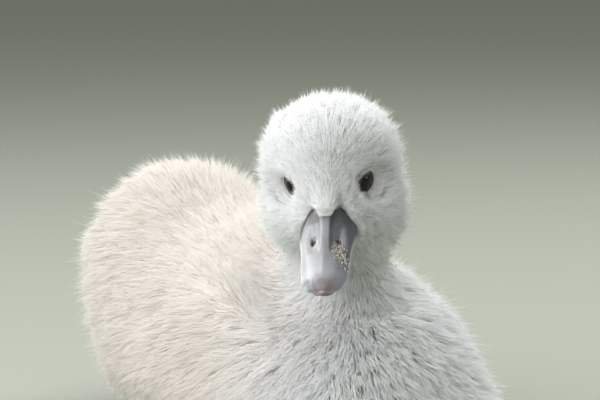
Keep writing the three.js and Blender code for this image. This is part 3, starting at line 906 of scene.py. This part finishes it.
def scutes_on(side):
    """Places, turns and sizes of the scutes on the shank and the toes of one leg."""
    places, turns, sizes = [], [], []

    def row(centres, radii, cover):
        for centre, radius, way in zip(centres, radii, unit(np.gradient(centres, axis=0))):
            heading = math.atan2(way[1], way[0])
            places.append((centre + (0, 0, radius * 0.62)) * MM)
            turns.append((0, -math.asin(np.clip(way[2], -1, 1)), heading))
            sizes.append(np.array((SCUTE_STEP * 0.62, radius * cover, radius * 0.46)) * MM)

    heel, root = mirrored(HEEL, side), mirrored(TOE_ROOT, side)
    count = int(np.linalg.norm(root - heel) / SCUTE_STEP)
    shares = np.linspace(0.1, 0.97, count)[:, None]
    row(heel * (1 - shares) + root * shares, np.full(count, SHANK_RADIUS), 0.8)
    for name, (_, length, _) in TOES.items():
        count = int(length / (SCUTE_STEP * 0.85))
        shares = np.linspace(0.08, 0.95, count)
        row(toe_line(side, name, shares), toe_radius(name, shares), 0.78)
    return places, turns, sizes


scute_rows = [scutes_on(side) for _, side in SIDES]
scutes = scattered("scutes", *(sum(parts, []) for parts in zip(*scute_rows)), leg_skin)
leg_pieces = [part for _, side in SIDES for part in leg_parts(side)] + [scutes]

# ---------- The skin, one object ----------
# The hide, the lids, the legs and the feet are one mesh. Under the down the hide is pale and matt, pinker
# on the body; the lids are bare, grey with a darker rim, and slightly moist.
hide_skin, tree = new_material("downy skin")
principled(
    tree,
    Base_Color=mix(tree, attribute(tree, "warmth"), "#dfdedb", "#e3cfc1"),
    Roughness=0.75,
    Normal=bump(tree, noise(tree, 900.0, 3.0), 0.3, 0.0003),
)
lid_skin, tree = new_material("bare lid skin")
principled(
    tree,
    Base_Color=mix(tree, attribute(tree, "rim"), "#8f8c86", "#4c4743"),
    Roughness=0.42,
    IOR=1.45,
    Normal=bump(tree, noise(tree, 2200.0, 3.0), 0.4, 0.00015),
)

skin_points = [hide_points]
skin_faces = [list(quad) for quad in hide_quads]
skin_slots = [0] * len(hide_quads)


def warmth_of(places, head_weight, neck_weight):
    """How creamy the down is: white on head, neck and breast, cream with a touch of pink further back."""
    behind_breast = smooth_step(-62 * MM, -8 * MM, places[:, 1])
    return np.clip(behind_breast * (1 - head_weight - 0.55 * neck_weight), 0, 1)


skin_warmth = [warmth_of(hide_points, on_head, on_neck)]
skin_rim = [np.zeros(len(hide_points))]


def add_to_skin(points, faces, slot, rim=None):
    start = sum(len(some) for some in skin_points)
    skin_points.append(points)
    skin_faces.extend([start + corner for corner in face] for face in faces)
    skin_slots.extend([slot] * len(faces))
    skin_warmth.append(np.zeros(len(points)))
    skin_rim.append(np.zeros(len(points)) if rim is None else rim)


for points, faces, rim in lid_parts:
    add_to_skin(points, faces, 1, rim)
for points, faces in leg_pieces:
    add_to_skin(points, faces, 2)
skin_mesh = smooth_mesh("skin", np.concatenate(skin_points), skin_faces)
skin_mesh.polygons.foreach_set("material_index", skin_slots)
paint(skin_mesh, "warmth", np.concatenate(skin_warmth))
paint(skin_mesh, "rim", np.concatenate(skin_rim))
skin = new_object("skin", skin_mesh, hide_skin, lid_skin, leg_skin)
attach(skin, "root")
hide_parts(*FLESH, *(f"{limb_name}_{side}" for limb_name in ("leg", "foot") for side, _ in SIDES))

# ---------- The eyes ----------
# Glossy balls with a slightly bulging cornea: a wide black pupil, a dark grey-brown iris with fine
# streaks, and a blackish edge where the iris meets the white, which the lids cover.
PUPIL_RADIUS = 2.5
IRIS_RADIUS = 3.75
CORNEA_BULGE = 0.3
BALL_STEPS = 64
BALL_RINGS = 40

material, tree = new_material("wet eye")
from_axis = attribute(tree, "from_axis")
soft = {"interpolation_type": "SMOOTHSTEP"}
in_iris = span(tree, from_axis, soft, From_Min=PUPIL_RADIUS - 0.15, From_Max=PUPIL_RADIUS + 0.2)
past_iris = span(tree, from_axis, soft, From_Min=IRIS_RADIUS - 0.5, From_Max=IRIS_RADIUS)
iris = mix(tree, span(tree, noise(tree, 2600.0, 2.0), From_Min=0.3, From_Max=0.7), "#2b2421", "#63544b")
seen = mix(tree, past_iris, mix(tree, in_iris, "#050505", iris), "#17120f")
principled(tree, Base_Color=seen, Roughness=0.03, IOR=1.34)
for side_name, side in SIDES:
    middle, looks, to_bill, upwards = eye_frame(side)
    tilts = np.linspace(0, math.pi, BALL_RINGS + 1)[1:-1]
    turns = np.arange(BALL_STEPS) * 2 * math.pi / BALL_STEPS
    from_axis = np.sin(tilts) * EYEBALL_RADIUS
    bulge = CORNEA_BULGE * smooth_step(3.9, 0.5, from_axis) * (tilts < math.pi / 2)
    radii = EYEBALL_RADIUS + bulge
    round_way = np.cos(turns)[:, None] * to_bill + np.sin(turns)[:, None] * upwards
    points = middle + radii[:, None, None] * (
        np.cos(tilts)[:, None, None] * looks + np.sin(tilts)[:, None, None] * round_way[None]
    )
    front = middle + looks * (EYEBALL_RADIUS + CORNEA_BULGE)
    rear = middle - looks * EYEBALL_RADIUS
    points = np.concatenate([points.reshape(-1, 3), [front, rear]])
    faces = ring_faces(BALL_RINGS - 1, BALL_STEPS)
    ball_mesh = smooth_mesh(f"eyeball_{side_name}", from_head(points), faces)
    face_outwards(ball_mesh)
    ahead_of_middle = np.concatenate([np.repeat(np.cos(tilts) > 0, BALL_STEPS), [True, False]])
    radial = np.concatenate([np.repeat(from_axis, BALL_STEPS), [0, 0]])
    paint(ball_mesh, "from_axis", np.where(ahead_of_middle, radial, 9))
    ball = new_object(f"eyeball_{side_name}", ball_mesh, material)
    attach(ball, "root")
    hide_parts(f"eye_{side_name}")

# ---------- Dried mud on the bill ----------
# Crumbs that stuck to the wet horn as the bird fed: pale and brown grains about a third of a millimetre
# across, in a band from beside the left nostril to the edge.
dice = np.random.default_rng(5)
CRUMBS = 220  # thrown; those behind or inside the band's limits are left out
CRUMB_SIZE = 0.17  # half, in millimetres
NOSTRIL_CLEAR = 21.5  # no crumb lies further back than this
RIDGE_CLEAR = 2.3  # nor nearer to the ridge
along = dice.random(CRUMBS)
ahead = 21.8 + 9.2 * along + dice.normal(0, 1.1, CRUMBS)
out = np.minimum(3.3 + 3.9 * along + dice.normal(0, 1.1, CRUMBS), half_width(ahead) - 0.25)
clear = (ahead > NOSTRIL_CLEAR) & (out > RIDGE_CLEAR)
ahead, out = ahead[clear], out[clear]
places = from_head(np.stack([out, -ahead, horn_height(ahead, out) + 0.04], axis=1))
round_sizes = dice.uniform(0.6, 1.5, (len(out), 1)) * dice.uniform(0.8, 1.25, (len(out), 3))
sizes = CRUMB_SIZE * MM * round_sizes * (1, 1, 0.7)
material, tree = new_material("dried mud")
kind = span(tree, noise(tree, 1400.0, 1.0), From_Min=0.42, From_Max=0.6)
principled(tree, Base_Color=mix(tree, kind, "#d9d4ca", "#76553c"), Roughness=0.9)
points, faces = scattered("mud_crumbs", places, dice.uniform(0, 6, (len(out), 3)), sizes, material, 1)
crumb_mesh = bpy.data.meshes.new("mud_crumbs")
crumb_mesh.from_pydata(points.tolist(), [], faces)
crumbs = new_object("mud_crumbs", crumb_mesh, material)
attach(crumbs, "root")

# ---------- The claws ----------
# Short blunt horn at the end of every toe, blackish, worn paler at the tip. Each is a bent cone.
material, tree = new_material("claw horn")
base = mix(tree, noise(tree, 1800.0, 2.0), "#211f1f", "#3a3634")
principled(tree, Base_Color=mix(tree, attribute(tree, "tip"), base, "#6b625b"), Roughness=0.35, IOR=1.54)
CLAW_RINGS = 22
for side_name, side in SIDES:
    for toe, (_, length, radius) in TOES.items():
        tail_end, tip_end = toe_line(side, toe, [0.0, 1.0])
        way = tip_end - tail_end
        way = np.array((way[0], way[1], 0)) / math.hypot(way[0], way[1])
        shares = np.linspace(0, 1, CLAW_RINGS)
        start = np.array((tip_end[0], tip_end[1], 1.25)) - way * 0.5
        middle = start + way * (CLAW_LENGTH * 0.6) + (0, 0, 0.2)
        end = start + way * (CLAW_LENGTH + 0.7) + (0, 0, -0.85)
        t = shares[:, None]
        centres = start * (1 - t) ** 2 + middle * 2 * t * (1 - t) + end * t**2
        points, faces = limb(centres, radius * (0.47 - 0.4 * shares), 0, 0.4)
        claw_mesh = smooth_mesh(f"claw_horn_{side_name}_{toe}", points, faces)
        paint(claw_mesh, "tip", np.append(np.repeat(smooth_step(0.5, 1, shares), LIMB_SIDES), [0, 1]))
        claw = new_object(f"claw_horn_{side_name}_{toe}", claw_mesh, material)
        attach(claw, "root")
        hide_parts(f"claw_{side_name}_{toe}")

# ---------- The coat of down ----------
# Some two hundred thousand closed, tapering strands grow out of the skin in tufts that lean together and
# overlap. They flow back from the bill and over the body to the tail: short and close on the face, longer
# and looser on the body. Every strand is thickest part of the way up and arches back towards the skin.
rng = np.random.default_rng(11)
STRANDS = 238_000
STRAND_SIDES = 3
# For each part of the coat: strands to a square millimetre, length, lift off the skin in degrees, half
# the thickness and the distance between tufts, in millimetres, and how far strands lean to their tuft.
COAT = {
    "body": (4.6, 11.0, 42, 0.1, 1.7, 0.22),
    "wing": (5.0, 10.4, 36, 0.1, 1.7, 0.26),
    "tail": (6.0, 8.5, 32, 0.1, 1.7, 0.3),
    "neck": (6.5, 8.2, 41, 0.09, 1.6, 0.2),
    "head": (10.5, 6.0, 42, 0.076, 1.2, 0.17),
    "nape": (8.5, 6.1, 40, 0.09, 1.8, 0.28),
    "eye": (16.0, 2.7, 42, 0.052, 0.8, 0.12),
    "bill": (18.0, 1.9, 44, 0.05, 0.8, 0.12),
    "skirt": (5.4, 9.0, 24, 0.1, 1.6, 0.26),
    "under": (2.0, 5.0, 12, 0.13, 2.6, 0.4),
}
coat_weights = (
    ("wing", on_wing),
    ("tail", on_tail),
    ("neck", on_neck),
    ("head", on_head),
    ("nape", nape),
    ("eye", on_eye),
    ("bill", on_bill),
    ("skirt", skirt),
    ("under", under),
)
hide_coat = np.tile(np.array(COAT["body"], float), (len(hide_points), 1))
for name, weight in coat_weights:
    hide_coat = towards(hide_coat, weight[:, None], np.array(COAT[name], float))

corner_sets = [hide_points[hide_faces[:, k]] for k in range(3)]
areas = np.linalg.norm(np.cross(corner_sets[1] - corner_sets[0], corner_sets[2] - corner_sets[0]), axis=1) / 2
crowding = hide_coat[hide_faces, 0].mean(axis=1)
chances = areas * crowding
picked = rng.choice(len(hide_faces), STRANDS, p=chances / chances.sum())
shares = rng.dirichlet((1, 1, 1), STRANDS)


def at_roots(values):
    """Values held by the skin's points, as they are at the strands' roots."""
    wide = values.reshape(len(values), -1)[hide_faces[picked]]
    return np.einsum("nk,nkc->nc", shares, wide)


roots = at_roots(hide_points)
lifts_off = unit(at_roots(hide_normals))
root_coat = at_roots(hide_coat)
head_share, wing_share, tail_share, neck_share, skirt_share = at_roots(
    np.stack([on_head, on_wing, on_tail, on_neck, skirt], axis=1)
).T
roots_in_head = to_head(roots)

# No strand grows on the eyes' openings or on bare horn. Those behind the line where the down ends stand
# on the horn where it is above the skin.
kept = np.ones(STRANDS, bool)
ahead, out = -roots_in_head[:, 1], roots_in_head[:, 0]
share = np.abs(out) / half_width(ahead)
over_bill = (share < 1) & (ahead > BILL_BASE) & (roots_in_head[:, 2] > tomium(ahead) - 0.5)
line = feather_line(np.clip(share, 0, 1))
kept &= ~(over_bill & (ahead > line)) & ~((ahead > 16.4) & (share < 1.3) & (head_share > 0.6))
surface = horn_height(ahead, out) + 0.1
buried = over_bill & (ahead <= line) & (roots_in_head[:, 2] < surface)
roots_in_head[buried, 2] = surface[buried]
wedge = np.where(over_bill, smooth_step(10, 14, ahead), 0)[:, None]
lifts_off = unit(lifts_off + 1.3 * wedge * unit(np.array((0, -0.2, 1))) @ TURN.T)
LID_MARGIN = 0.5  # millimetres of bare lid round the opening
eye_away = []
for _, side in SIDES:
    middle, looks, to_bill, upwards = eye_frame(side)
    offset = roots_in_head - middle
    along_bill, above = offset @ to_bill, offset @ upwards
    edge = opening_at(np.arctan2(above, along_bill) - CORNER_TURN)
    past_edge = np.hypot(along_bill, above) - edge
    past_edge[offset @ looks < 0] = 99
    kept &= past_edge > LID_MARGIN
    from_middle = np.linalg.norm(offset, axis=1)
    past_angle = np.degrees(np.arccos(offset @ looks / from_middle) - np.arcsin(edge / EYEBALL_RADIUS))
    lid_height = np.interp(past_angle, *np.array(LID_RINGS).T)
    on_lid = (past_edge < 5) & (from_middle < lid_height)
    roots_in_head[on_lid] = middle + offset[on_lid] * (lid_height / from_middle)[on_lid, None]
    outwards = along_bill[:, None] * to_bill + above[:, None] * upwards
    eye_away.append((unit(outwards), np.maximum(past_edge, 0)))
roots = from_head(roots_in_head)

# The lie of the coat, along the skin.
BILL_ROOT = (0, -20, -7)
flow_head = unit(roots_in_head - BILL_ROOT)
flow_head += (0, 0, -0.3)
room = np.full(STRANDS, 99.0)
for outwards, past_edge in eye_away:
    heading_in = np.clip(-(unit(flow_head) * outwards).sum(axis=1), 0, 1)
    flow_head += outwards * (1.9 * heading_in * np.exp(-past_edge / 2.6))[:, None]
    heading_in = np.clip(-(unit(flow_head) * outwards).sum(axis=1), 0.25, 1)
    room = np.minimum(room, 0.3 + past_edge / heading_in)
flow_head = unit(flow_head) @ TURN.T
from_neck = (roots - np.array(middle_of("neck"))) / MM
near_neck = 1 - smooth_step(45, 95, np.linalg.norm(from_neck, axis=1))
flow = np.tile((0.0, 1.0, -0.5), (STRANDS, 1))
flow[:, 0] += 0.25 * np.tanh(roots[:, 0] / (20 * MM))
flow = towards(flow, near_neck[:, None], unit(from_neck) + (0, 0.1, -0.25))
flow = towards(flow, neck_share[:, None], np.array((0, 0.35, -1.0)))
flow = towards(flow, wing_share[:, None], np.array((0, 1.0, -0.3)))
flow = towards(flow, tail_share[:, None], np.array((0, 1.0, -0.1)))
hanging = np.stack([0.2 * np.sign(roots[:, 0]), np.full(STRANDS, 0.45), np.full(STRANDS, -1.0)], axis=1)
flow = towards(flow, 0.8 * skirt_share[:, None], hanging)
flow = towards(flow, head_share[:, None], flow_head)
flow = unit(flow - lifts_off * (flow * lifts_off).sum(axis=1, keepdims=True))
sideways = np.cross(lifts_off, flow)

# Tufts: every strand belongs to the nearest of some strands picked as their tufts' middles.
leader_chance = 1 / (root_coat[:, 0] * root_coat[:, 4] ** 2)
leaders = np.flatnonzero(rng.random(STRANDS) < leader_chance)
nearest = KDTree(len(leaders))
for i, leader in enumerate(leaders):
    nearest.insert(roots[leader], i)
nearest.balance()
tuft = np.array([nearest.find(root)[1] for root in roots])
leader = leaders[tuft]

lengths = np.minimum(root_coat[:, 1], room) * MM
lift = np.radians(root_coat[:, 2])
calm = 1 - 0.6 * (head_share * (1 - at_roots(nape)[:, 0]))[leaders]  # the face's down lies evenly
tuft_turn = rng.normal(0, 0.16, len(leaders)) * calm
tuft_lift = rng.normal(0, 0.09, len(leaders)) * calm
tuft_length = rng.normal(1, 0.12, len(leaders))


def reach_of(index, spin, raise_by, scale):
    """The vector from a strand's root to its tip."""
    along = flow[index] * np.cos(spin)[:, None] + sideways[index] * np.sin(spin)[:, None]
    angle = np.clip(lift[index] + raise_by, 0.03, 1.35)[:, None]
    return (along * np.cos(angle) + lifts_off[index] * np.sin(angle)) * (lengths[index] * scale)[:, None]


# Some strands are longer, finer and stand up more: more of them on the head than on the body.
WISPS_ON_HEAD, WISPS_ON_BODY = 0.15, 0.05
wisp_share = WISPS_ON_BODY + (WISPS_ON_HEAD - WISPS_ON_BODY) * head_share
wisp = (rng.random(STRANDS) < wisp_share) & (root_coat[:, 1] > 4.5)
every = np.arange(STRANDS)
own_reach = reach_of(
    every,
    tuft_turn[tuft] + rng.normal(0, 0.2, STRANDS),
    tuft_lift[tuft] + rng.normal(0, 0.14, STRANDS) + np.where(wisp, 0.2, 0),
    tuft_length[tuft] * rng.uniform(0.72, 1.06, STRANDS) * np.where(wisp, 1.25, 1),
)
tuft_reach = reach_of(leader, tuft_turn[tuft], tuft_lift[tuft], tuft_length[tuft])
lean = (root_coat[:, 5] * rng.uniform(0.6, 1.15, STRANDS) * np.where(wisp, 0.3, 1))[:, None]
tips = (roots + own_reach) * (1 - lean) + (roots[leader] + tuft_reach) * lean
ARCH = 0.13  # of a strand's length, that its middle stands off the straight line
bends = (
    roots
    + (tips - roots) * 0.4
    + lifts_off * (lengths * ARCH)[:, None]
    + rng.normal(0, 0.035, (STRANDS, 3)) * lengths[:, None]
)
thickness = root_coat[:, 3] * rng.uniform(0.75, 1.2, STRANDS) * np.where(wisp, 0.85, 1) * MM
bends[:, 2] = np.maximum(bends[:, 2], FLOOR_GAP + thickness)
tips[:, 2] = np.maximum(tips[:, 2], FLOOR_GAP)
ROOM = 0.022  # of each side of the solids' box, that tips may stand past it
low, high = (np.array(corner) for corner in solids_box)
tips = np.clip(tips, low - (high - low) * ROOM, high + (high - low) * ROOM)
SUNK = 0.5 * MM  # of each root, in the skin
starts = roots - lifts_off * SUNK
starts[:, 2] = np.maximum(starts[:, 2], FLOOR_GAP)

axis = unit(tips - starts)
ring_side = unit(np.cross(axis, lifts_off + rng.normal(0, 0.3, (STRANDS, 3))))
ring_over = np.cross(axis, ring_side)

# The chart: tufts of the head and of the body on an equal-area unwrap of each one's rounded shape.
PATCH = 0.003  # across, of each tuft's patch
HEAD_CORNER, HEAD_SPAN = (0.63, 0.01), (0.36, 0.5)
BODY_CORNER, BODY_SPAN = (0.01, 0.01), (0.6, 0.96)
body_middle = np.array((0, 8, 38)) * MM
body_halves = np.array((45, 88, 42)) * MM
body_way = unit((roots[leaders] - body_middle) / body_halves)
head_way = unit(to_head(roots[leaders]) - (0, 8, -6))
is_head = (head_share + 0.6 * neck_share)[leaders] > 0.5
way = np.where(is_head[:, None], head_way, body_way)
chart = np.stack([np.arctan2(way[:, 0], way[:, 2]) / (2 * math.pi) + 0.5, (way[:, 1] + 1) / 2], axis=1)
chart = np.where(is_head[:, None], chart * HEAD_SPAN + HEAD_CORNER, chart * BODY_SPAN + BODY_CORNER)

warmth = warmth_of(roots, head_share, neck_share)
shade = rng.uniform(0, 1, STRANDS) * 0.5 + rng.uniform(0, 1, len(leaders))[tuft] * 0.5

ROUND_NORMALS = 0.22


def strands_mesh(name, chosen):
    """The chosen strands as one mesh: a root, a ring and a tip each, with tints and chart."""
    count = len(chosen)
    turns = np.arange(STRAND_SIDES) * 2 * math.pi / STRAND_SIDES
    radial = (
        ring_side[chosen][:, None] * np.cos(turns)[None, :, None]
        + ring_over[chosen][:, None] * np.sin(turns)[None, :, None]
    )
    ring = bends[chosen][:, None] + radial * thickness[chosen][:, None, None]
    points = np.concatenate([starts[chosen][:, None], ring, tips[chosen][:, None]], axis=1)
    per_strand = STRAND_SIDES + 2
    tip = STRAND_SIDES + 1
    ends = [(k + 1, (k + 1) % STRAND_SIDES + 1) for k in range(STRAND_SIDES)]
    pattern = np.array([(0, b, a) for a, b in ends] + [(tip, a, b) for a, b in ends])
    corners_of = (pattern[None] + (np.arange(count) * per_strand)[:, None, None]).reshape(-1)
    made = bpy.data.meshes.new(name)
    made.vertices.add(count * per_strand)
    made.vertices.foreach_set("co", points.ravel())
    made.loops.add(len(corners_of))
    made.loops.foreach_set("vertex_index", corners_of)
    faces = len(corners_of) // 3
    made.polygons.add(faces)
    made.polygons.foreach_set("loop_start", np.arange(0, len(corners_of), 3))
    made.polygons.foreach_set("use_smooth", np.ones(faces, bool))
    made.update()
    skin_way = lifts_off[chosen][:, None].repeat(per_strand, axis=1)
    own_way = skin_way.copy()
    own_way[:, 1:tip] = radial
    vertex_way = skin_way * (1 - ROUND_NORMALS) + own_way * ROUND_NORMALS
    made.normals_split_custom_set_from_vertices(unit(vertex_way.reshape(-1, 3)))
    along = np.array([0] + [0.45] * STRAND_SIDES + [1])
    paint(made, "tip", np.tile(along, count))
    paint(made, "warmth", warmth[chosen].repeat(per_strand))
    paint(made, "shade", shade[chosen].repeat(per_strand))
    across = np.array([0.5] + [k / (STRAND_SIDES - 1) for k in range(STRAND_SIDES)] + [0.5])
    patch = np.stack([across, along], axis=1) * PATCH
    places = (chart[tuft[chosen]][:, None] + patch[None]).reshape(-1, 2)
    made.uv_layers.new(name="OFBake").data.foreach_set("uv", places[corners_of].ravel())
    return made


def down_material(name, root_cool, root_warm, tip_cool, tip_warm):
    material, tree = new_material(name)
    warm = attribute(tree, "warmth")
    low = mix(tree, warm, root_cool, root_warm)
    high = mix(tree, warm, tip_cool, tip_warm)
    blend = mix(tree, attribute(tree, "tip"), low, high)
    bright = span(tree, attribute(tree, "shade"), To_Min=0.96, To_Max=1.02)
    tinted = node(tree, "ShaderNodeHueSaturation", Value=bright, Color=blend)
    principled(
        tree,
        Base_Color=tinted.outputs[0],
        Roughness=0.8,
        Specular_IOR_Level=0.2,
        Sheen_Weight=0.25,
        Sheen_Roughness=0.5,
    )
    return material


down = down_material("fluffed cygnet down", "#eceded", "#f1e1d5", "#fcfdfe", "#f8f2ec")
part_of = np.where(is_head[tuft], 0, 1)
y_of_tuft = roots[leader, 1]
PIECE_LIMIT = 32_500  # strands, of six triangles each
for part, label, slot in ((0, "down_head", "head_down"), (1, "down_body", "body_down")):
    chosen = np.flatnonzero((part_of == part) & kept)
    chosen = chosen[np.argsort(y_of_tuft[chosen] + 1e-7 * tuft[chosen], kind="stable")]
    pieces = math.ceil(len(chosen) / PIECE_LIMIT)
    for i, some in enumerate(np.array_split(chosen, pieces)):
        coat_piece = new_object(f"{label}_{i + 1}", strands_mesh(f"{label}_{i + 1}", some), down)
        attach(coat_piece, "root")
